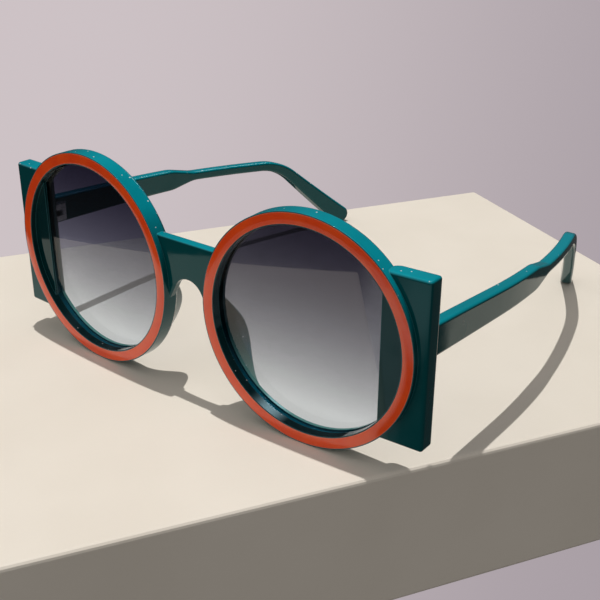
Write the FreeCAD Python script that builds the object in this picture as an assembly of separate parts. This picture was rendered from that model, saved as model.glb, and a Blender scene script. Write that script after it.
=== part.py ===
import FreeCAD, Part
import math
import os

from FreeCAD import Placement, Rotation, Vector

# Oversized sunglasses: two round rims stand proud of a set-back layer that forms the bridge and a
# rectangular plate at each side. An inlaid ring lies in each rim, a D-shaped lens sits in a groove
# behind it, and each temple folds on a three-knuckle hinge behind its plate.
# Millimetres and degrees. +X is the wearer's left, the front looks along -Y, +Z is up.
# The origin is at the bottom centre of the open glasses, on the surface that they stand on.

# Rims
rim_gap = 14.0
wrap_angle = 2.9
aperture_radius = 28.35
lip_width = 0.3
rim_depth = 5.2
rim_front_round = 0.12
rim_back_round = 1.0

# Inlaid rings
inlay_width = 2.95
inlay_depth = 0.9
inlay_crown = 0.25
inlay_clearance = 0.04

# Set-back layer: side plates and bridge
layer_setback = 1.65
plate_depth = 5.05
plate_rise = 22.4
plate_fall = 23.2
plate_overhang = 2.4
plate_sight = 6.75
plate_round = 0.9
plate_inner_round = 3.0
bridge_depth = 2.7
bridge_top = 15.0
bridge_round = 0.6
arch_top = 4.0
leg_width = 1.6
leg_drop = 4.0
leg_bite = 0.3

# Nose pads, moulded on the backs of the rims
pad_height = 5.6
pad_splay = 22.0
pad_start_angle = -3.0
pad_peak_angle = 20.0
pad_end_angle = 62.0
pad_tip_width = 2.0
pad_edge_margin = 0.5
pad_root = 0.4
pad_rise_sections = 4
pad_fall_sections = 6

# Lenses
lens_thickness = 1.6
lens_setback = 2.6
lens_bed = 0.7
lens_curve_radius = 900.0
lens_clearance = 0.05

# Temples: lengths run back from the temple's front end, heights are above the eye line
temple_gap = 0.4
temple_splay = 3.6
temple_inset = 0.1
temple_thickness = 3.7
temple_edge_round = 0.85
temple_corner_round = 0.9
hinge_line_height = 5.3
plank_height = 8.9
plank_length = 56.5
plank_end_height = 7.2
plank_drop = 3.8
waist_length = 9.5
waist_round = 16.0
arm_height = 3.2
arm_start_drop = 4.3
bend_length = 106.0
bend_drop = 8.2
bend_round = 24.0
tip_reach = 132.0
tip_width = 6.8
sweep_start = 32.5
sweep_radius = 240.0

# Hinges
hinge_height = 5.4
knuckle_radius = 1.5
knuckle_gap = 0.08
hinge_offset = 1.9
hinge_stand = 5.2
leaf_thickness = 0.9
leaf_width = 4.6
anchor_depth = 1.5
anchor_margin = 1.1
anchor_clearance = 0.03
neck_width = 1.8
tongue_cover = 0.9
tongue_thickness = 1.2
tongue_length = 8.5
screw_radius = 0.6
screw_head_radius = 1.0
screw_head_height = 0.6
screw_slot_width = 0.3
screw_slot_depth = 0.25
thread_clearance = 0.03
pivot_clearance = 0.05

# Sizes that follow from those above
rim_radius = aperture_radius + 2 * lip_width + inlay_width
eye_spacing = 2 * rim_radius + rim_gap
arch_radius = rim_gap / 2 - leg_width
inlay_inner_radius = aperture_radius + lip_width
inlay_outer_radius = inlay_inner_radius + inlay_width
plate_outer = rim_radius + plate_overhang
plate_inner = aperture_radius - plate_sight
plate_back = layer_setback + plate_depth
temple_outer = plate_outer - temple_inset
temple_inner = temple_outer - temple_thickness
temple_front = plate_back + temple_gap
table_level = -rim_radius
hinge_x = temple_inner - hinge_offset
hinge_y = plate_back + hinge_stand
hinge_bottom = hinge_line_height - hinge_height / 2
knuckle_height = hinge_height / 3

# One side is modelled round its own rim: X outwards from the rim's centre, Y back from its front
RIM_AXIS = Vector(0, 1, 0)
UP = Vector(0, 0, 1)
ORIGIN = Vector(0, 0, 0)
MIRROR_NORMAL = Vector(1, 0, 0)
CUT_MARGIN = 5.0
SAME_POINT = 0.00001


def box(low, high):
    """Block between two corners given as (x, y, z)."""
    size = [b - a for a, b in zip(low, high)]
    return Part.makeBox(*size, Vector(*low))


def line(start, end):
    return Part.makeLine(start, end)


def arc(start, middle, end):
    return Part.Arc(start, middle, end).toShape()


def revolved(edges):
    """Solid of revolution about the rim's axis from a closed section of edges."""
    return Part.Face(Part.Wire(edges)).revolve(ORIGIN, RIM_AXIS, 360)


def corner_arc(before, corner, after, radius):
    """Start, middle and end of the arc that rounds a corner between two straight runs."""
    to_before = (before - corner).normalize()
    to_after = (after - corner).normalize()
    half = to_before.getAngle(to_after) / 2
    inwards = (to_before + to_after).normalize()
    centre = corner + inwards * (radius / math.sin(half))
    reach = radius / math.tan(half)
    return corner + to_before * reach, centre - inwards * radius, corner + to_after * reach


def rounded_outline(corners):
    """Closed face of straight runs joined by tangent arcs; corners are (point, radius)."""
    points = [point for point, radius in corners]
    arcs = []
    for number, (point, radius) in enumerate(corners):
        before = points[number - 1]
        after = points[(number + 1) % len(points)]
        arcs.append(corner_arc(before, point, after, radius))
    edges = []
    for number, (start, middle, end) in enumerate(arcs):
        previous_end = arcs[number - 1][2]
        if (start - previous_end).Length > SAME_POINT:
            edges.append(line(previous_end, start))
        edges.append(arc(start, middle, end))
    return Part.Face(Part.Wire(edges))


def section_point(radius, depth):
    return Vector(radius, depth, 0)


def rounded_step(corner, from_side, to_side, radius):
    """Quarter-round between two square runs of a section, meeting at corner."""
    start = corner + from_side * radius
    end = corner + to_side * radius
    middle = corner + (from_side + to_side) * (radius * (1 - math.sqrt(0.5)))
    return start, arc(start, middle, end), end


def rim():
    """Round rim with a rounded back and a groove for the inlaid ring between two front lips."""
    out = Vector(1, 0, 0)
    back = Vector(0, 1, 0)
    groove_in = inlay_inner_radius - inlay_clearance
    groove_out = inlay_outer_radius + inlay_clearance
    lip_out = rounded_step(section_point(rim_radius, 0), -out, back, rim_front_round)
    heel = rounded_step(section_point(rim_radius, rim_depth), -back, -out, rim_back_round)
    throat = rounded_step(section_point(aperture_radius, rim_depth), out, -back, rim_front_round)
    lip_in = rounded_step(section_point(aperture_radius, 0), back, out, rim_front_round)
    corners = [
        section_point(groove_in, 0),
        section_point(groove_in, inlay_depth),
        section_point(groove_out, inlay_depth),
        section_point(groove_out, 0),
    ]
    edges = [line(lip_in[2], corners[0])]
    edges += [line(a, b) for a, b in zip(corners, corners[1:])]
    edges += [line(corners[-1], lip_out[0]), lip_out[1]]
    edges += [line(lip_out[2], heel[0]), heel[1]]
    edges += [line(heel[2], throat[0]), throat[1]]
    edges += [line(throat[2], lip_in[0]), lip_in[1]]
    return revolved(edges)


def inlay():
    """Coloured ring with a slightly crowned face, seated on the floor of the rim's groove."""
    middle_radius = (inlay_inner_radius + inlay_outer_radius) / 2
    inner_front = section_point(inlay_inner_radius, 0)
    outer_front = section_point(inlay_outer_radius, 0)
    inner_back = section_point(inlay_inner_radius, inlay_depth)
    outer_back = section_point(inlay_outer_radius, inlay_depth)
    crown = arc(inner_front, section_point(middle_radius, -inlay_crown), outer_front)
    sides = [line(outer_front, outer_back), line(outer_back, inner_back), line(inner_back, inner_front)]
    return revolved([crown] + sides)


def lens(clearance):
    """Shallow domed lens, cut straight beside the plate; clearance enlarges it into its own groove."""
    edge_radius = aperture_radius + lens_bed + clearance
    front_radius = lens_curve_radius + clearance
    back_radius = lens_curve_radius - lens_thickness - clearance
    bed_radius = aperture_radius + lens_bed
    dome_centre = lens_setback + math.sqrt(lens_curve_radius**2 - bed_radius**2)

    def on_dome(radius, share):
        across = edge_radius * share
        return section_point(across, dome_centre - math.sqrt(radius**2 - across**2))

    front = [on_dome(front_radius, share) for share in (0, 0.5, 1)]
    back = [on_dome(back_radius, share) for share in (1, 0.5, 0)]
    disc = revolved([arc(*front), line(front[2], back[0]), arc(*back), line(back[2], front[0])])
    straight_edge = plate_inner + lens_bed + clearance
    reach = edge_radius + CUT_MARGIN
    beyond = box((straight_edge, -reach, -reach), (reach, reach, reach))
    return disc.cut(beyond)


def plate():
    """Rectangular side plate, its outer side straight to the back in spite of the front's wrap."""
    outer_back = plate_outer + plate_depth * math.tan(math.radians(wrap_angle))
    corners = [
        Vector(plate_inner, layer_setback, -plate_fall),
        Vector(plate_outer, layer_setback, -plate_fall),
        Vector(outer_back, plate_back, -plate_fall),
        Vector(plate_inner, plate_back, -plate_fall),
    ]
    outline = Part.Face(Part.makePolygon(corners + corners[:1]))
    slab = outline.extrude(UP * (plate_rise + plate_fall))
    behind_lens = []
    for edge in slab.Edges:
        span = edge.BoundBox
        if span.XMax < plate_inner + SAME_POINT and span.YMin > plate_back - SAME_POINT:
            behind_lens.append(edge)
    slab = slab.makeFillet(plate_inner_round, behind_lens)
    round_end = plate_inner + plate_inner_round + SAME_POINT
    outside = [edge for edge in slab.Edges if edge.BoundBox.XMax > round_end]
    return slab.makeFillet(plate_round, outside)


def pad_section(angle, height):
    """Tongue-shaped section of the nose pad in the plane of the rim's axis at the given angle."""
    outwards = Vector(-math.cos(math.radians(angle)), 0, -math.sin(math.radians(angle)))
    lean = math.tan(math.radians(pad_splay))
    root_inner = aperture_radius + pad_edge_margin
    root_outer = rim_radius - rim_back_round - pad_edge_margin / 2
    middle = (root_inner + root_outer) / 2
    half_tip = pad_tip_width / 2
    tall = height + pad_root
    crown = tall * half_tip / (tall + half_tip)

    def place(radius, rise):
        return outwards * radius + Vector(0, rim_depth - pad_root + rise, 0)

    side = tall - crown
    tip = middle - tall * lean
    inner_low = place(root_inner, 0)
    outer_low = place(root_outer, 0)
    outer_high = place(middle - side * lean + half_tip, side)
    inner_high = place(middle - side * lean - half_tip, side)
    top = arc(outer_high, place(tip, tall), inner_high)
    sides = [line(inner_low, outer_low), line(outer_low, outer_high), top, line(inner_high, inner_low)]
    return Part.Wire(sides)


def nose_pad():
    """Fin on the nasal back of the rim: it rises steeply below the bridge and runs out along the rim."""
    sections = []
    buried = -pad_root / 4
    for step in range(pad_rise_sections):
        share = step / pad_rise_sections
        angle = pad_start_angle + (pad_peak_angle - pad_start_angle) * share
        height = buried + (pad_height - buried) * math.sin(math.pi / 2 * share)
        sections.append(pad_section(angle, height))
    for step in range(pad_fall_sections + 1):
        share = step / pad_fall_sections
        angle = pad_peak_angle + (pad_end_angle - pad_peak_angle) * share
        height = buried + (pad_height - buried) * math.cos(math.pi / 2 * share) ** 2
        sections.append(pad_section(angle, height))
    return Part.makeLoft(sections, True)


def knuckle(level, bore_radius):
    """One barrel of the hinge, a third of its height, counted from the bottom."""
    low = hinge_bottom + level * knuckle_height + knuckle_gap / 2
    foot = Vector(hinge_x, hinge_y, low)
    tall = knuckle_height - knuckle_gap
    barrel = Part.makeCylinder(knuckle_radius, tall, foot, UP)
    bore = Part.makeCylinder(bore_radius, tall, foot, UP)
    return barrel, bore, low, low + tall


def front_anchor(clearance):
    """Tongue of the front leaf that is sunk into the plate's back."""
    half = hinge_height / 2 - anchor_margin + clearance
    left = temple_inner - leaf_width + anchor_margin - clearance
    right = temple_inner - 2 * anchor_margin + clearance
    low = (left, plate_back - anchor_depth - clearance, hinge_line_height - half)
    return box(low, (right, plate_back, hinge_line_height + half))


def hinge_front_leaf():
    """Hinge half on the plate: flat base, sunk anchor, and the top and bottom knuckles on legs."""
    top = hinge_bottom + hinge_height
    base_back = plate_back + leaf_thickness
    base_end = temple_inner - anchor_margin / 2
    base = box((temple_inner - leaf_width, plate_back, hinge_bottom), (base_end, base_back, top))
    pieces = [front_anchor(0)]
    bores = []
    for level in (0, 2):
        barrel, bore, low, high = knuckle(level, screw_radius + thread_clearance)
        leg_low = (hinge_x - knuckle_radius, plate_back, low)
        pieces += [barrel, box(leg_low, (hinge_x + knuckle_radius, hinge_y, high))]
        bores.append(bore)
    head = screw_head(anchor_clearance)
    return base.fuse(pieces).removeSplitter().cut(bores + [head])


def temple_insert(clearance):
    """Tongue of the temple leaf, moulded into the temple, and the neck from it to the middle knuckle."""
    half = hinge_height / 2 - anchor_margin + clearance
    neck_half = (knuckle_height - knuckle_gap) / 2 + clearance
    start = hinge_y - neck_width / 2 - clearance
    neck_end = hinge_y + neck_width / 2 + clearance
    tongue_end = start + tongue_length + 2 * clearance
    near = temple_inner + tongue_cover - clearance
    far = temple_inner + tongue_cover + tongue_thickness + clearance
    tongue = box((near, start, hinge_line_height - half), (far, tongue_end, hinge_line_height + half))
    neck_low = (hinge_x, start, hinge_line_height - neck_half)
    neck = box(neck_low, (far, neck_end, hinge_line_height + neck_half))
    return tongue.fuse(neck).removeSplitter()


def hinge_temple_leaf():
    """Hinge half on the temple: the middle knuckle and the insert that holds it."""
    barrel, bore, low, high = knuckle(1, screw_radius + pivot_clearance)
    return barrel.fuse(temple_insert(0)).removeSplitter().cut(bore)


def screw_head(clearance):
    top = hinge_bottom + hinge_height - knuckle_gap / 2
    foot = Vector(hinge_x, hinge_y, top - screw_head_height)
    return Part.makeCylinder(screw_head_radius + clearance, screw_head_height, foot, UP)


def hinge_screw():
    """Slotted screw that is the hinge's pin, with its head let into the top knuckle."""
    foot = Vector(hinge_x, hinge_y, hinge_bottom + knuckle_gap / 2)
    length = hinge_height - knuckle_gap
    body = Part.makeCylinder(screw_radius, length, foot, UP).fuse(screw_head(0)).removeSplitter()
    top = foot.z + length
    half = screw_slot_width / 2
    slot_low = (hinge_x - screw_head_radius, hinge_y - half, top - screw_slot_depth)
    slot_high = (hinge_x + screw_head_radius, hinge_y + half, top)
    return body.cut(box(slot_low, slot_high))


def side_point(length, height):
    """Point of the temple's side outline, length behind the temple's front end."""
    return Vector(0, temple_front + length, height)


def tip_corner(bend, centre, end_direction, turn):
    """Where the edge from the bend, touching the tip's round, meets the line across the tip's end."""
    radius = tip_width / 2
    run = centre - bend
    swing = math.asin(radius / run.Length) * turn
    edge = Rotation(Vector(1, 0, 0), math.degrees(swing)).multVec(run).normalize()
    end = centre + end_direction * radius
    return bend + edge * ((end - bend).dot(end_direction) / edge.dot(end_direction))


def temple_outline():
    """Side view of the temple: front plank, waist, slim arm, ear bend and a paddle-shaped tip."""
    plank_end = hinge_line_height - plank_drop
    arm_start = hinge_line_height - arm_start_drop
    bend_centre = hinge_line_height - bend_drop
    arm_length = plank_length + waist_length
    tip_centre = side_point(tip_reach, table_level + tip_width / 2)
    end_direction = (tip_centre - side_point(bend_length, bend_centre)).normalize()
    bend_upper = side_point(bend_length, bend_centre + arm_height / 2)
    bend_lower = side_point(bend_length - arm_height / 2, bend_centre - arm_height / 2)
    tip_upper = tip_corner(bend_upper, tip_centre, end_direction, 1)
    tip_lower = tip_corner(bend_lower, tip_centre, end_direction, -1)
    return rounded_outline(
        [
            (side_point(0, hinge_line_height - plank_height / 2), temple_corner_round),
            (side_point(0, hinge_line_height + plank_height / 2), temple_corner_round),
            (side_point(plank_length, plank_end + plank_end_height / 2), waist_round),
            (side_point(arm_length, arm_start + arm_height / 2), waist_round),
            (bend_upper, bend_round),
            (tip_upper, tip_width / 2),
            (tip_lower, tip_width / 2),
            (bend_lower, bend_round - arm_height),
            (side_point(arm_length, arm_start - arm_height / 2), waist_round),
            (side_point(plank_length, plank_end - plank_end_height / 2), waist_round),
        ]
    )


def temple_plan():
    """Plan view of the temple: straight beside the plank, then sweeping in behind the ear."""
    bend_from = temple_front + sweep_start
    turn = math.asin((tip_reach + tip_width + CUT_MARGIN - sweep_start) / sweep_radius)
    centre = Vector(temple_outer - sweep_radius, bend_from, 0)

    def swept(radius, angle):
        return centre + Vector(math.cos(angle), math.sin(angle), 0) * radius

    outer = [swept(sweep_radius, turn * share) for share in (0, 0.5, 1)]
    inner = [swept(sweep_radius - temple_thickness, turn * share) for share in (1, 0.5, 0)]
    front_outer = Vector(temple_outer, temple_front, 0)
    front_inner = Vector(temple_inner, temple_front, 0)
    outside = [line(front_outer, outer[0]), arc(*outer), line(outer[2], inner[0])]
    inside = [arc(*inner), line(inner[2], front_inner), line(front_inner, front_outer)]
    return Part.Face(Part.Wire(outside + inside))


def faces_sideways(face):
    u_low, u_high, v_low, v_high = face.ParameterRange
    return abs(face.normalAt((u_low + u_high) / 2, (v_low + v_high) / 2).x) > 0.5


def temple():
    """Temple where its side and plan views meet, with rounded edges and the hinge's socket."""
    top = hinge_line_height + plank_height
    bottom = table_level - CUT_MARGIN
    slab = temple_plan().translated(Vector(0, 0, bottom)).extrude(UP * (top - bottom))
    width = sweep_radius
    outline = temple_outline().translated(Vector(temple_outer + CUT_MARGIN - width, 0, 0))
    blank = slab.common(outline.extrude(Vector(width, 0, 0))).Solids[0]
    edges = []
    for edge in blank.Edges:
        sideways = [faces_sideways(face) for face in blank.ancestorsOfType(edge, Part.Face)]
        if any(sideways) and not all(sideways):
            edges.append(edge)
    return blank.makeFillet(temple_edge_round, edges).cut(temple_insert(anchor_clearance))


def half_front():
    """One rim with its plate, nose pad, lens groove and hinge socket."""
    body = rim().fuse([plate(), nose_pad()]).removeSplitter()
    return body.cut([lens(lens_clearance), front_anchor(anchor_clearance)])


def bridge():
    """Set-back bridge: level top, and a round arch on legs that run out along the rims."""
    half_spacing = eye_spacing / 2
    forward = rim_radius * math.sin(math.radians(wrap_angle))
    front = layer_setback - forward
    back = front + bridge_depth
    centre = Vector(0, front, arch_top - arch_radius)
    foot = Vector(half_spacing - math.sqrt(rim_radius**2 - leg_drop**2) + leg_bite, front, -leg_drop)
    run = foot - centre
    turn = math.atan2(run.z, run.x) + math.acos(arch_radius / run.Length)
    touch = centre + Vector(math.cos(turn), 0, math.sin(turn)) * arch_radius
    right = [touch, foot, Vector(half_spacing, front, -leg_drop), Vector(half_spacing, front, bridge_top)]
    left = [Vector(-point.x, point.y, point.z) for point in right]
    path = right + left[::-1]
    edges = [line(a, b) for a, b in zip(path, path[1:])]
    edges.append(arc(left[0], centre + UP * arch_radius, touch))
    block = Part.Face(Part.Wire(edges)).extrude(Vector(0, back - front, 0))
    rounded = []
    for edge in block.Edges:
        span = edge.BoundBox
        on_arch = max(span.XMax, -span.XMin) < foot.x + SAME_POINT
        on_top = span.ZMin > bridge_top - SAME_POINT
        if span.YLength < SAME_POINT and (on_arch or on_top):
            rounded.append(edge)
    block = block.makeFillet(bridge_round, rounded)
    return block.cut(list(on_both_sides(eye_hole(back)).values()))


def eye_hole(reach):
    """Room that the bridge leaves clear inside a rim."""
    middle_radius = (aperture_radius + rim_radius) / 2
    foot = Vector(0, -reach - rim_depth, 0)
    return Part.makeCylinder(middle_radius, 3 * (reach + rim_depth), foot, RIM_AXIS)


def splayed(shape):
    """A piece of the temple, turned outwards about the hinge from square to the plate."""
    return shape.rotated(Vector(hinge_x, hinge_y, 0), UP, -temple_splay)


def on_both_sides(shape):
    """The piece on the wearer's left, turned with the wrap of the front, and its mirror image."""
    turned = Rotation(UP, wrap_angle)
    left = shape.copy()
    left.Placement = Placement(Vector(eye_spacing / 2, 0, 0), turned).multiply(shape.Placement)
    return {"left": left, "right": left.mirror(ORIGIN, MIRROR_NORMAL)}


def assemble():
    """Every node by name, with the front facing -Y and the eye line at height zero."""
    halves = on_both_sides(half_front())
    front = bridge().fuse([halves["left"], halves["right"]]).removeSplitter()
    nodes = {"front_frame": front.Solids[0]}
    pairs = {
        "inlay_ring": inlay(),
        "lens": lens(0),
        "temple": splayed(temple()),
        "hinge_front_leaf": hinge_front_leaf(),
        "hinge_temple_leaf": splayed(hinge_temple_leaf()),
        "hinge_screw": hinge_screw(),
    }
    for name, shape in pairs.items():
        for side, placed in on_both_sides(shape).items():
            nodes[name + "_" + side] = placed.Solids[0]
    return nodes


def main():
    nodes = assemble()
    front_box = nodes["inlay_ring_left"].optimalBoundingBox()
    temple_box = nodes["temple_left"].optimalBoundingBox()
    depth_middle = (front_box.YMin + temple_box.YMax) / 2
    to_origin = Vector(0, -depth_middle, -table_level)
    os.makedirs("parts", exist_ok=True)
    for name, shape in nodes.items():
        placed = shape.translated(to_origin)
        placed.exportStep(os.path.join("parts", name + ".step"))
    print("nodes", len(nodes), "shift", to_origin)


main()
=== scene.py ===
# %% [markdown]
# Oversized sunglasses. The moulded front, the inlaid rings, the lenses, the temples and
# the hinges come from the packed solid model. Their shapes are already true there, with
# rounded edges and smooth normals, so this lesson keeps those meshes and spends its effort
# on what the solids lack: finishes, a surface to stand on, light and a camera.
# Loading comes first, and the box of the bare model is printed.

# %% Load the model
import math
import bpy
from mathutils import Matrix, Vector


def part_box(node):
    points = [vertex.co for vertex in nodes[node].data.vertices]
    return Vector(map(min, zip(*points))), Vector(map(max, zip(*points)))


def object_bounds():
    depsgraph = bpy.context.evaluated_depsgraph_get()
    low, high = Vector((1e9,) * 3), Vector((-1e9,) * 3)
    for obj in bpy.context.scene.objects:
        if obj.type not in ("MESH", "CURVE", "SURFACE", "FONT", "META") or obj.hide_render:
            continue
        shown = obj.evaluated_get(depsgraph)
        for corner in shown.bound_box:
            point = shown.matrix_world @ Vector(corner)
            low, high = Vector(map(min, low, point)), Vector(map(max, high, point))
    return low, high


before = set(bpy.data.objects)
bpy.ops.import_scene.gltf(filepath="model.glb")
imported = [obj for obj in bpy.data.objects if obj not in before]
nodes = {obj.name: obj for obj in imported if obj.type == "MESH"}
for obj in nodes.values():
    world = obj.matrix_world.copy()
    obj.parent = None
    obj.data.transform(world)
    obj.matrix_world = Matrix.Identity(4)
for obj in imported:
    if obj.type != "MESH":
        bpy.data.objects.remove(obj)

MM = 0.001

for start_object in ("Cube", "Light", "Camera"):
    if start_object in bpy.data.objects:
        bpy.data.objects.remove(bpy.data.objects[start_object])
solid_box = [list(corner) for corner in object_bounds()]
box_mm = [[round(value / MM, 1) for value in corner] for corner in solid_box]
print("pieces", len(nodes), "box in mm", box_mm)

# %% [markdown]
# The picture should be judged in plain tones, so the view transform is Standard: a colour
# that is written as 0.2 and fully lit then also comes out as 0.2.

# %% Plain tones
scene = bpy.context.scene
scene.view_settings.view_transform = "Standard"
print("view transform", scene.view_settings.view_transform)

# %% [markdown]
# The camera stands in front of the wearer's left side, a little above the rims, and looks
# down by about 25 degrees. A fit of the rims, plates and temples to the picture gave its
# place, the spot on the table in the middle of the picture and a very small roll. Aiming
# with to_track_quat keeps those three facts readable, which a matrix of nine numbers is not.

# %% Camera
camera_place = Vector((0.17194, -0.24505, 0.14357))
camera_target = Vector((-0.01532, -0.00120, 0.0))
camera_roll = math.radians(0.22)
lens_mm = 59.19
sensor_mm = 36.0
nearest_seen = 0.01

bpy.ops.object.camera_add(location=camera_place)
camera = bpy.context.object
camera.name = "camera"
camera.data.lens = lens_mm
camera.data.sensor_width = sensor_mm
camera.data.clip_start = nearest_seen
aim = (camera_target - camera_place).to_track_quat("-Z", "Y").to_matrix().to_4x4()
roll = Matrix.Rotation(camera_roll, 4, "Z")
camera.matrix_world = Matrix.Translation(camera_place) @ aim @ roll
scene.camera = camera
print("camera to target in mm", round((camera_target - camera_place).length / MM, 1))

# %% [markdown]
# Finishes are drawn with shader nodes. Wiring them by hand takes many lines, so one small
# class wraps a node's output: arithmetic on it adds Math nodes, and its node method adds
# any other kind of node, with the settings made before the sockets are filled.

# %% Wires
class Wire:
    """A node's output socket that can be used in arithmetic."""

    def __init__(self, tree, socket):
        self.tree = tree
        self.socket = socket

    def node(self, kind, settings=None, inputs=None, output=0):
        """Adds a node to the same tree and gives one of its outputs, if it has any."""
        made = self.tree.nodes.new(kind)
        for name, value in (settings or {}).items():
            setattr(made, name, value)
        for name, value in (inputs or {}).items():
            if isinstance(value, Wire):
                self.tree.links.new(value.socket, made.inputs[name])
            else:
                made.inputs[name].default_value = value
        return Wire(self.tree, made.outputs[output]) if made.outputs else None

    def maths(self, operation, first, second=0.0):
        """Adds a Math node."""
        return self.node("ShaderNodeMath", {"operation": operation}, {0: first, 1: second})

    def __add__(self, other):
        return self.maths("ADD", self, other)

    def __radd__(self, other):
        return self.maths("ADD", other, self)

    def __sub__(self, other):
        return self.maths("SUBTRACT", self, other)

    def __rsub__(self, other):
        return self.maths("SUBTRACT", other, self)

    def __mul__(self, other):
        return self.maths("MULTIPLY", self, other)

    def __rmul__(self, other):
        return self.maths("MULTIPLY", other, self)

    def __pow__(self, other):
        return self.maths("POWER", self, other)

    def __rpow__(self, other):
        return self.maths("POWER", other, self)


print("operators", [name for name in vars(Wire) if name.startswith("__") and name != "__init__"])

# %% [markdown]
# Every finish starts with an empty material and the place on its piece in metres, and ends
# with one surface. A last helper puts a finish on its pieces, in place of the plain one that
# they were loaded with. Only the material slot changes and never the mesh.

# %% Start and end of a finish
def start_finish(name):
    """A new empty material and the place on its piece, in the frame of the model."""
    finish = bpy.data.materials.new(name)
    finish.use_nodes = True
    finish.node_tree.nodes.clear()
    start = finish.node_tree.nodes.new("ShaderNodeTexCoord")
    return finish, Wire(finish.node_tree, start.outputs["Object"])


def shader(place, **inputs):
    """The surface that these values feed; _ in a name stands for a space."""
    named = {name.replace("_", " "): value for name, value in inputs.items()}
    return place.node("ShaderNodeBsdfPrincipled", {}, named)


def close_finish(place, surface):
    """Ends a finish with the surface that it shows."""
    place.node("ShaderNodeOutputMaterial", {}, {"Surface": surface})


def dress(finish, *names):
    """Puts a finish on the pieces with these names."""
    for name in names:
        nodes[name].material_slots[0].material = finish
    print(finish.name, "on", ", ".join(names))


print("slots to fill", sum(len(node.material_slots) for node in nodes.values()))

# %% [markdown]
# Unevenness is drawn with patterns: a cloudy noise of a given size, a smooth step between
# two values, scattered patches, a mix of two colours and a bump. Sizes are written in
# millimetres. The noise is seldom near 0 or 1, so the range that it mostly keeps is named.

# %% Patterns
noise_low = 0.3
noise_high = 0.7
patch_fade = 0.3
unstretched = (1.0, 1.0, 1.0)


def clouds(place, size_mm, detail, stretch=unstretched):
    """Noise from 0 to 1 whose patches are about size_mm across."""
    drawn = place.node("ShaderNodeMapping", {}, {"Vector": place, "Scale": stretch})
    inputs = {"Vector": drawn, "Scale": 1.0 / (size_mm * MM), "Detail": detail}
    return place.node("ShaderNodeTexNoise", {}, inputs)


def step(value, low, high):
    """0 below low, 1 above high and smooth between them; low may be the larger one."""
    inputs = {"Value": value, "From Min": low, "From Max": high}
    return value.node("ShaderNodeMapRange", {"interpolation_type": "SMOOTHSTEP"}, inputs)


def patches(place, size_mm, detail, start):
    """1 in scattered patches of about size_mm; a higher start makes them rarer."""
    return step(clouds(place, size_mm, detail), start, start + patch_fade)


def mix_colours(share, first, second):
    """The first colour at share 0 and the second at share 1."""
    return share.node("ShaderNodeMix", {"data_type": "RGBA"}, {0: share, 6: first, 7: second}, 2)


def bump(height, depth_mm, normal=None):
    """A normal for a height from 0 to 1 that stands for depth_mm."""
    inputs = {"Height": height, "Distance": depth_mm * MM, "Strength": 1.0}
    if normal:
        inputs["Normal"] = normal
    return height.node("ShaderNodeBump", {}, inputs)


print("noise is mostly between", noise_low, "and", noise_high)

# %% [markdown]
# Light, wear and dust follow the way that a face looks. These helpers give the coordinates
# of a place or a direction, the normal of the mesh, and how well two directions agree.
# In this frame x runs to the wearer's left, y to the back and z up.

# %% Directions
def axes(place):
    """The three coordinates of a place or of a direction."""
    parts = place.node("ShaderNodeSeparateXYZ", {}, {"Vector": place})
    sockets = parts.socket.node.outputs
    return [Wire(place.tree, sockets[name]) for name in ("X", "Y", "Z")]


def own_normal(place):
    """The normal of the mesh."""
    return place.node("ShaderNodeNewGeometry", output="Normal")


def vector_maths(operation, first, second=(0.0, 0.0, 0.0), output="Vector"):
    """Adds a Vector Math node."""
    inputs = {0: first, 1: second}
    return first.node("ShaderNodeVectorMath", {"operation": operation}, inputs, output)


def agreement(first, second):
    """1 where two directions are the same and 0 where they are square to each other."""
    return vector_maths("DOT_PRODUCT", first, second, "Value")


print("width, depth, height in mm", [round(high - low, 1) for low, high in zip(*box_mm)])

# %% [markdown]
# The walls of the lens openings belong to the moulded front, and the moulding is one piece
# with one material. So they are found by their place: within the circle of a rim and not
# far behind its lens. The rims are turned a little to the sides, so depth is measured from
# a plane that is turned as well. Both rims are mirror images, and one formula serves both.

# %% Walls of the rims
ring_width = 3.0 * MM
wall_behind_lens = 5.0 * MM
circle_fade = 0.5 * MM
end_fade = 1.0 * MM
lens_fade = 0.4 * MM
wrap_turn = math.radians(2.9)

ring_low, ring_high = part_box("inlay_ring_left")
rim_middle = (ring_low + ring_high) / 2
rim_opening = (ring_high.z - ring_low.z) / 2 - ring_width
lens_low, lens_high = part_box("lens_left")
lens_depth = (lens_low.y + lens_high.y) / 2
wall_end = lens_depth + wall_behind_lens


def rim_walls(place):
    """1 on the walls of the lens openings, and 1 on those of them in front of the lenses."""
    across, back, up = axes(place)
    aside = across.maths("ABSOLUTE", across) - rim_middle.x
    radius = ((up - rim_middle.z) ** 2.0 + aside ** 2.0) ** 0.5
    depth = back - math.tan(wrap_turn) * aside
    in_circle = step(radius, rim_opening + circle_fade, rim_opening)
    # These masks place painted light and shade on the walls of the openings.
    walls = in_circle * step(depth, wall_end, wall_end - end_fade)
    return walls, walls * step(depth, lens_depth + lens_fade, lens_depth - lens_fade)


print("radius of the openings in mm", round(rim_opening / MM, 1))

# %% [markdown]
# Handling wears polished pieces along their edges first, which then look paler, and on
# the plastic that pale edge is also a painted highlight. Dust settles on faces that look
# up. A Bevel node finds edges without any change to the mesh. The cells of a Voronoi
# pattern give specks that keep apart, as sparse dust does.

# %% Worn edges with a painted highlight, and dust
dust_pale = (0.90, 0.90, 0.87, 1.0)
edge_samples = 4
edge_starts = 0.995
edge_full = 0.85
speck_blur = 0.3
dust_starts = 0.1
dust_full = 0.6


# On the plastic the pale edge colour is also a painted highlight; on steel it is wear.
def edges_worn_and_highlit(place, width_mm):
    """1 along edges, where a softened normal leaves the true one, and 0 on open faces."""
    soft = place.node("ShaderNodeBevel", {"samples": edge_samples}, {"Radius": width_mm * MM})
    return step(agreement(soft, own_normal(place)), edge_starts, edge_full)


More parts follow.
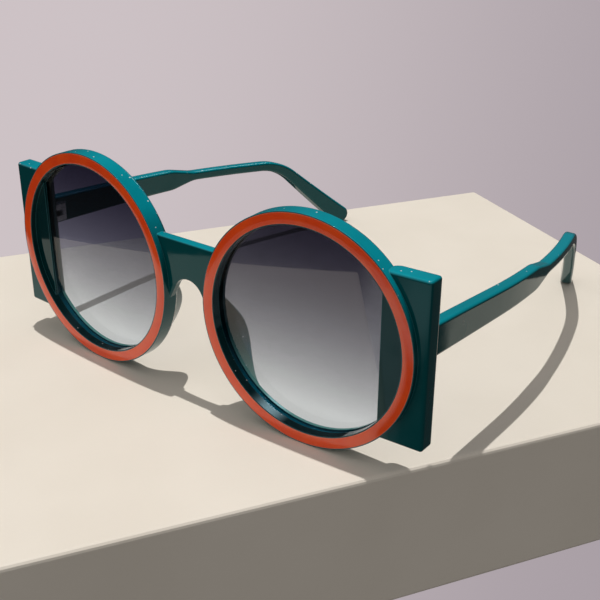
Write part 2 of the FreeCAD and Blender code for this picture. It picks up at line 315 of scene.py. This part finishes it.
def dust_specks(place, spacing_mm, speck_mm):
    """1 on sparse specks that lie on faces looking up."""
    inputs = {"Vector": place, "Scale": 1.0 / (spacing_mm * MM)}
    distance = place.node("ShaderNodeTexVoronoi", {}, inputs, "Distance")
    radius = 0.5 * speck_mm / spacing_mm
    speck = step(distance, (1.0 + speck_blur) * radius, (1.0 - speck_blur) * radius)
    return speck * step(axes(own_normal(place))[2], dust_starts, dust_full)


print("dust starts at a slope of", round(math.degrees(math.acos(dust_starts))), "degrees")

# %% [markdown]
# Front and temples are polished teal plastic from a mould. Light and shade are painted into
# its colour by the way that a face looks: faces that look up get a painted lit teal, and
# upright faces get a painted shade of dark green. The walls of the lens openings get a greyer
# painted lit green where they look up, and in front of the lenses a painted shade that is
# nearly black. The colour has drifted a little where the melt flowed. Real light inside the
# plastic would be slow and noisy to render, so the colour follows the way that a face looks.

# %% Colour of the teal plastic, with painted light and shade
# Painted light and shade: lit teal for upward faces, a greyer lit green for upward walls of the
# openings, and painted shade for upright faces and for walls in front of the lenses.
teal_painted_lit = (0.0, 0.27, 0.33, 1.0)
teal_painted_lit_dull = (0.0, 0.22, 0.265, 1.0)
teal_painted_shade = (0.0, 0.060, 0.064, 1.0)
teal_painted_deep_shade = (0.0, 0.020, 0.022, 1.0)
teal_wall_painted_lit = (0.12, 0.28, 0.22, 1.0)
drift_mm = 14.0
painted_shade_below = 0.15
painted_light_above = 0.8


def teal_colour(place, flow_stretch):
    """Teal with painted light and shade by the way that a face looks, and its drift drawn out by
    flow_stretch.
    """
    drift = step(clouds(place, drift_mm, 3.0, flow_stretch), noise_low, noise_high)
    painted_light_share = step(axes(own_normal(place))[2], painted_shade_below, painted_light_above)
    walls, walls_in_painted_dark = rim_walls(place)
    # Painted light and shade by the way that a face looks, with nearly black painted shade in front
    # of the lenses.
    colour = mix_colours(drift, teal_painted_lit_dull, teal_painted_lit)
    colour = mix_colours(walls, colour, teal_wall_painted_lit)
    colour = mix_colours(painted_light_share, teal_painted_shade, colour)
    return mix_colours(walls_in_painted_dark, colour, teal_painted_deep_shade)


print("teal on upward faces", teal_painted_lit[:3], "and on upright ones", teal_painted_shade[:3])

# %% [markdown]
# The gloss of the teal plastic is broken by faint finger marks, and the surface has a slow
# waviness and a fine skin. The tint of the gloss stands in for light that enters the clear
# plastic and comes out again. All of this could be painted in an image, but noise in the
# model's own metres needs no unwrap and stays sharp when it is looked at closely.

# %% Teal plastic
teal_edge_wear_and_highlight = (0.09, 0.31, 0.33, 1.0)
teal_gloss = (0.5, 0.95, 1.0, 1.0)
along_temple = (1.0, 0.25, 1.0)
finger_mm = 7.0
wave_mm = 6.0
wave_depth_mm = 0.014
skin_mm = 0.5
skin_depth_mm = 0.0006
moulded_edge_mm = 0.35
moulded_speck_mm = 0.42


def teal_plastic(name, flow_stretch, dust_spacing_mm):
    """Polished teal moulding with worn edges that also carry a painted highlight, finger marks and
    dust.
    """
    finish, place = start_finish(name)
    edges = edges_worn_and_highlit(place, moulded_edge_mm)
    dust = dust_specks(place, dust_spacing_mm, moulded_speck_mm)
    marks = patches(place, finger_mm, detail=4.0, start=0.45)
    # Pale edges: wear together with a painted highlight.
    colour = mix_colours(0.45 * edges, teal_colour(place, flow_stretch), teal_edge_wear_and_highlight)
    waves = bump(clouds(place, wave_mm, detail=1.0), wave_depth_mm)
    surface = shader(
        place,
        Base_Color=mix_colours(0.8 * dust, colour, dust_pale),
        Roughness=0.05 + 0.05 * marks + 0.06 * edges + 0.4 * dust,
        IOR=1.41,
        Specular_Tint=teal_gloss,
        Coat_Weight=0.08 - 0.06 * marks,
        Coat_Roughness=0.03,
        Normal=bump(clouds(place, skin_mm, detail=2.0), skin_depth_mm, waves),
    )
    close_finish(place, surface)
    return finish


dress(teal_plastic("teal_front", unstretched, 2.4), "front_frame")
dress(teal_plastic("teal_temple", along_temple, 4.2), "temple_left", "temple_right")

# %% [markdown]
# Rings and lenses follow a front that is wrapped a little round the face, and lie on large
# balls far behind it. A mirror shows every fault of its normals, and a mesh of such a cap
# is weakest at its pole. So one helper gives both kinds of piece the normal of their ball.

# %% Normal of a large ball
ball_radius = 900.0 * MM


def ball_normal(place, side):
    """The normal of a ball far behind the front, on the side that is looked at."""
    middle_x = side * (rim_middle.x - ball_radius * math.sin(wrap_turn))
    middle = (middle_x, lens_low.y + ball_radius * math.cos(wrap_turn), rim_middle.z)
    away = vector_maths("NORMALIZE", vector_maths("SUBTRACT", place, middle))
    same = agreement(own_normal(place), away)
    looked_at = same.maths("SIGN", same)
    return place.node("ShaderNodeVectorMath", {"operation": "SCALE"}, {0: away, "Scale": looked_at})


print("ball radius in mm", round(ball_radius / MM))

# %% [markdown]
# The inlaid rings are burnt orange enamel-like plastic, poured or pressed into the groove
# of each rim, so their face is slightly domed. Orange pigment settles unevenly, which
# shows as soft mottling, and a shallow ripple bends the highlight. Polishing leaves the
# middle of the face flatter than its edges. A flatter mesh could show that, but here the
# finish leans its normal towards the front there, and the mesh stays as it is.

# %% Orange inlay
orange_bright = (0.98, 0.090, 0.006, 1.0)
orange_burnt = (0.92, 0.066, 0.005, 1.0)
orange_edge_highlight = (0.96, 0.36, 0.22, 1.0)
mottle_mm = 6.0
ring_mark_mm = 4.0
grain_mm = 0.35
grain_depth_mm = 0.0008
ripple_mm = 3.0
ripple_depth_mm = 0.003
ring_edge_mm = 0.4
ring_dust_spacing_mm = 3.0
ring_speck_mm = 0.2
flat_starts = 0.88
flat_full = 0.97
flat_share = 0.8


def polished_flat(place, side):
    """The mesh's normal, leaning towards the front in the middle of a domed face."""
    own = own_normal(place)
    flat = ball_normal(place, side)
    share = flat_share * step(agreement(own, flat), flat_starts, flat_full)
    leant = place.node("ShaderNodeMix", {"data_type": "VECTOR"}, {0: share, 4: own, 5: flat}, 1)
    return vector_maths("NORMALIZE", leant)


def orange_inlay(name, side):
    """Mottled orange with a painted highlight along its edges, for the ring on one side."""
    finish, place = start_finish(name)
    mottle = step(clouds(place, mottle_mm, detail=4.0), noise_low, noise_high)
    grain = clouds(place, grain_mm, detail=2.0)
    marks = patches(place, ring_mark_mm, detail=3.0, start=0.5)
    dust = dust_specks(place, ring_dust_spacing_mm, ring_speck_mm)
    colour = mix_colours(mottle, orange_burnt, orange_bright)
    # Painted highlight: a pale orange line along both edges of the ring.
    colour = mix_colours(0.75 * edges_worn_and_highlit(place, ring_edge_mm), colour, orange_edge_highlight)
    ripple = clouds(place, ripple_mm, detail=1.0)
    normal = bump(ripple, ripple_depth_mm, polished_flat(place, side))
    surface = shader(
        place,
        Base_Color=mix_colours(0.6 * dust, colour, dust_pale),
        Roughness=0.09 + 0.05 * grain + 0.08 * marks,
        IOR=1.5,
        Coat_Weight=0.5 - 0.3 * marks,
        Coat_Roughness=0.05,
        Normal=bump(grain, grain_depth_mm, normal),
    )
    close_finish(place, surface)
    return finish


dress(orange_inlay("orange_inlay_left", 1.0), "inlay_ring_left")
dress(orange_inlay("orange_inlay_right", -1.0), "inlay_ring_right")

# %% [markdown]
# The lenses are clear sheet that was dipped in dye, longest at the top, so the dye grows
# with height, a little faster towards the top, and each layer of it takes away a share of
# the light. That makes them nearly clear below and nearly black above. A ramp of colours
# could be set by eye, but a formula can be printed and checked.

# %% Dye
clear_height_mm = 10.5
dye_per_mm = 0.05
dye_growth = 0.0125


def dye_taken(height_mm):
    """The dye's strength: light falls to exp(-strength) on its way through both faces."""
    dipped = height_mm - clear_height_mm
    return dye_per_mm * dipped * (1.0 + dye_growth * dipped)


for height in (lens_low.z, (lens_low.z + lens_high.z) / 2, lens_high.z):
    share_left = min(1.0, math.exp(-dye_taken(height / MM)))
    print("dye at height in mm", round(height / MM, 1), "passes", round(share_left, 3))

# %% [markdown]
# Glass with true refraction would need many light bounces and would cast hard black
# shadows. A mix of two see-through films, a bluish clear one and a violet dark one, gives
# the same gradient, lets lamp light through, and leaves as alpha in an exported model.
# Light passes two faces, so each face takes the square root. Both faces also mirror like
# polished plastic, more at a slant, with a faint smear here and there.

# %% Gradient lens
film_clear = (0.88, 0.935, 1.0, 1.0)
film_violet = (0.015, 0.0, 0.06, 1.0)
gloss_head_on = 0.07
slant_power = 5.0
dye_cloud_mm = 12.0
dye_uneven_mm = 1.2
smear_mm = 9.0
sheet_wave_mm = 8.0
sheet_wave_depth_mm = 0.001


def gradient_lens(name, side):
    """Dyed sheet with mirroring faces, for the lens on one side."""
    finish, place = start_finish(name)
    height_mm = axes(place)[2] * (1.0 / MM)
    uneven = dye_uneven_mm * clouds(place, dye_cloud_mm, detail=2.0)
    passed = math.exp(-0.5) ** dye_taken(height_mm + uneven)
    smear = patches(place, smear_mm, detail=4.0, start=0.5)
    waves = clouds(place, sheet_wave_mm, detail=1.0)
    normal = bump(waves, sheet_wave_depth_mm, ball_normal(place, side))
    dyed = place.node("ShaderNodeBsdfTransparent", {}, {"Color": film_violet})
    clear = place.node("ShaderNodeBsdfTransparent", {}, {"Color": film_clear})
    film = place.node("ShaderNodeMixShader", {}, {0: passed, 1: dyed, 2: clear})
    mirror = shader(place, Metallic=1.0, Roughness=0.02 + 0.03 * smear, Normal=normal)
    slant = place.node("ShaderNodeLayerWeight", {}, {"Blend": 0.5, "Normal": normal}, "Facing")
    gloss = gloss_head_on + (1.0 - gloss_head_on) * slant ** slant_power
    close_finish(place, place.node("ShaderNodeMixShader", {}, {0: gloss, 1: film, 2: mirror}))
    return finish


dress(gradient_lens("gradient_lens_left", 1.0), "lens_left")
dress(gradient_lens("gradient_lens_right", -1.0), "lens_right")

# %% [markdown]
# The hinge leaves are stamped steel with a satin brush along the leaf, and the screws are
# turned, so their marks run round. Metal shows its finish through roughness more than
# through colour: streaks are noise that is squeezed across the brush. A gloss with its own
# direction could do the same, but would need that direction laid out on every mesh.

# %% Hinge steel
steel_satin = (0.56, 0.56, 0.55, 1.0)
steel_dull = (0.40, 0.40, 0.39, 1.0)
steel_bright = (0.66, 0.65, 0.63, 1.0)
along_leaf = (6.0, 1.0, 6.0)
round_screw = (1.0, 1.0, 8.0)
streak_mm = 0.9
streak_depth_mm = 0.002
stain_mm = 2.5
steel_edge_mm = 0.12


def brushed_steel(name, pale, dark, roughness, stretch):
    """Steel with streaks, dull stains and bright edges."""
    finish, place = start_finish(name)
    streaks = clouds(place, streak_mm, 3.0, stretch)
    stains = patches(place, stain_mm, detail=3.0, start=0.45)
    edges = edges_worn_and_highlit(place, steel_edge_mm)
    colour = mix_colours(0.6 * stains, pale, dark)
    surface = shader(
        place,
        Base_Color=mix_colours(0.5 * edges, colour, steel_bright),
        Metallic=1.0,
        Roughness=roughness + 0.16 * streaks + 0.1 * stains - 0.08 * edges,
        Normal=bump(streaks, streak_depth_mm),
    )
    close_finish(place, surface)
    return finish


leaf_finish = brushed_steel("satin_leaf", steel_satin, steel_dull, 0.26, along_leaf)
screw_finish = brushed_steel("turned_screw", steel_bright, steel_satin, 0.16, round_screw)
for side in ("left", "right"):
    dress(leaf_finish, "hinge_front_leaf_" + side, "hinge_temple_leaf_" + side)
    dress(screw_finish, "hinge_screw_" + side)

# %% [markdown]
# The glasses stand on a plain pale block, turned about 60 degrees to them. A cube is only
# the start: it is stretched and turned into place, its edges are bevelled so that they
# catch light, and it gets a matt finish like painted board.

# %% Floor block
block_turn = math.radians(59.7)
block_length = 0.273
block_width = 0.182
block_height = 0.042
block_end = 0.108
block_round = 0.0012
round_segments = 3

along = Vector((math.cos(block_turn), math.sin(block_turn), 0.0))
block_middle = along * (block_end - block_length / 2) + Vector((0.0, 0.0, -block_height / 2))
bpy.ops.object.select_all(action="DESELECT")
bpy.ops.mesh.primitive_cube_add(size=1.0, location=block_middle, rotation=(0.0, 0.0, block_turn))
floor = bpy.context.object
floor.name = "floor_block"
floor.scale = (block_length, block_width, block_height)
bpy.ops.object.transform_apply(location=True, rotation=True, scale=True)
bpy.ops.object.mode_set(mode="EDIT")
bpy.ops.mesh.select_all(action="SELECT")
bpy.ops.mesh.bevel(offset=block_round, segments=round_segments, affect="EDGES")
bpy.ops.object.mode_set(mode="OBJECT")
print("floor block", len(floor.data.polygons), "faces")

# %% [markdown]
# The block's finish shows pale board to the camera, to mirrored rays and to rays through a
# lens. To the faint light that bounces about it is darker, because the block stands in for
# a table of which only a part is near, and a whole lit table would wash out the fronts.

# %% Pale board finish
board_pale = (0.85, 0.775, 0.665, 1.0)
board_shade = (0.80, 0.725, 0.615, 1.0)
board_bounce = (0.60, 0.56, 0.50, 1.0)
tone_mm = 40.0
fibre_mm = 0.8
fibre_depth_mm = 0.02


def ray_is(place, kind):
    """1 for rays of one kind, which is Camera, Glossy or Transmission."""
    return place.node("ShaderNodeLightPath", output="Is " + kind + " Ray")


def pale_board(name):
    """Matt painted board with a soft change of tone and fine fibres."""
    finish, place = start_finish(name)
    tone = step(clouds(place, tone_mm, detail=3.0), noise_low, noise_high)
    fibres = clouds(place, fibre_mm, detail=3.0)
    board = mix_colours(0.6 * tone + 0.4 * fibres, board_shade, board_pale)
    seen = ray_is(place, "Camera") + ray_is(place, "Glossy") + ray_is(place, "Transmission")
    surface = shader(
        place,
        Base_Color=mix_colours(seen, board_bounce, board),
        Roughness=0.55 + 0.2 * fibres,
        Normal=bump(fibres, fibre_depth_mm),
    )
    close_finish(place, surface)
    return finish


floor.data.materials.append(pale_board("pale_board"))
print("floor finish", floor.data.materials[0].name)

# %% [markdown]
# Light comes from one small lamp high above, which gives the crisp shadows, and from a
# room round the block. Together they light an upward face about fully, so colours come out
# as written. The printed level is the lamp's part of that, on a face that looks at it.

# %% Lamp
lamp_place = Vector((-0.110, 0.004, 1.264))
lamp_size = 0.014
lamp_watts = 10.4

bpy.ops.object.light_add(type="AREA", location=lamp_place)
lamp = bpy.context.object
lamp.name = "key_lamp"
lamp.data.shape = "DISK"
lamp.data.size = lamp_size
lamp.data.energy = lamp_watts
lamp.rotation_euler = lamp_place.to_track_quat("Z", "Y").to_euler()
print("lamp level", round(lamp_watts / (math.pi * lamp_place.length) ** 2, 2))

# %% [markdown]
# A room could be built of walls, but they would stand in the way of other views, so it is
# drawn by direction alone. The camera sees a pale backdrop wall, also through the lenses.
# All other rays meet a dim room, so the plastic keeps its colour. It has a dark corner at
# the wearer's right, a pale wall in front, a window and a sheet low in front that the
# lenses mirror, and a pale panel in the ceiling. A bright strip behind is met by mirrored
# rays only: it glints in the lower walls of the rims and lights nothing.

# %% Parts of the room
scene.world = bpy.data.worlds.new("pale_room")
scene.world.use_nodes = True
room_tree = scene.world.node_tree
room_tree.nodes.clear()
direction = Wire(room_tree, room_tree.nodes.new("ShaderNodeTexCoord").outputs["Generated"])
to_left, to_back, to_top = axes(direction)


def past(*edges):
    """1 past all edges; each is a coordinate, where its edge starts and where it is full."""
    share = 1.0
    for coordinate, start, full in edges:
        share = share * step(coordinate, start, full)
    return share


dark_corner = past((to_left, -0.55, -0.72))
in_front = past((to_back, 0.1, -0.4), (to_top, -0.05, 0.2))
far_in_front = past((to_back, -0.4, -0.6))
window = past((to_left, -0.41, -0.37), (to_top, -0.48, -0.43), (to_top, -0.30, -0.34))
sheet = past((to_left, -0.47, -0.44), (to_left, -0.355, -0.37), (to_top, -0.40, -0.42))
ceiling = past((to_top, 0.80, 0.92))
strip_height = past((to_back, 0.63, 0.65), (to_back, 0.72, 0.69), (to_top, 0.3, 0.4))
strip_width = past((to_left, -0.30, 0.0), (to_left, 0.30, 0.0))
print("nodes that draw the parts of the room", len(room_tree.nodes))

# %% [markdown]
# Each part of the room then gets its colour, one over the other, and the kind of ray
# decides between the room and the backdrop.

# %% Colours of the room
wall_pale = (0.61, 0.54, 0.56, 1.0)
wall_shade = (0.40, 0.35, 0.38, 1.0)
room_dim = (0.06, 0.059, 0.06, 1.0)
room_corner = (0.03, 0.03, 0.032, 1.0)
front_window = (0.70, 0.70, 0.68, 1.0)
front_wall = (0.56, 0.55, 0.55, 1.0)
ceiling_panel = (0.60, 0.59, 0.60, 1.0)
strip_light = (8.0, 8.0, 7.7, 1.0)

room = mix_colours(dark_corner, room_dim, room_corner)
room = mix_colours(in_front, room, front_wall)
room = mix_colours(window * far_in_front, room, front_window)
room = mix_colours(sheet * far_in_front, room, front_window)
room = mix_colours(ceiling, room, ceiling_panel)
strip = strip_height * strip_width * ray_is(direction, "Glossy")
room = mix_colours(strip, room, strip_light)
backdrop = mix_colours(past((to_left, -0.8, -0.2)), wall_pale, wall_shade)
on_camera = ray_is(direction, "Camera") + ray_is(direction, "Transmission")
seen = mix_colours(on_camera, room, backdrop)
glow = direction.node("ShaderNodeBackground", {}, {"Color": seen})
direction.node("ShaderNodeOutputWorld", {}, {"Surface": glow})
print("ceiling panel", ceiling_panel[:3], "in a room of", room_dim[:3])

# %% [markdown]
# Nothing was added to the object.
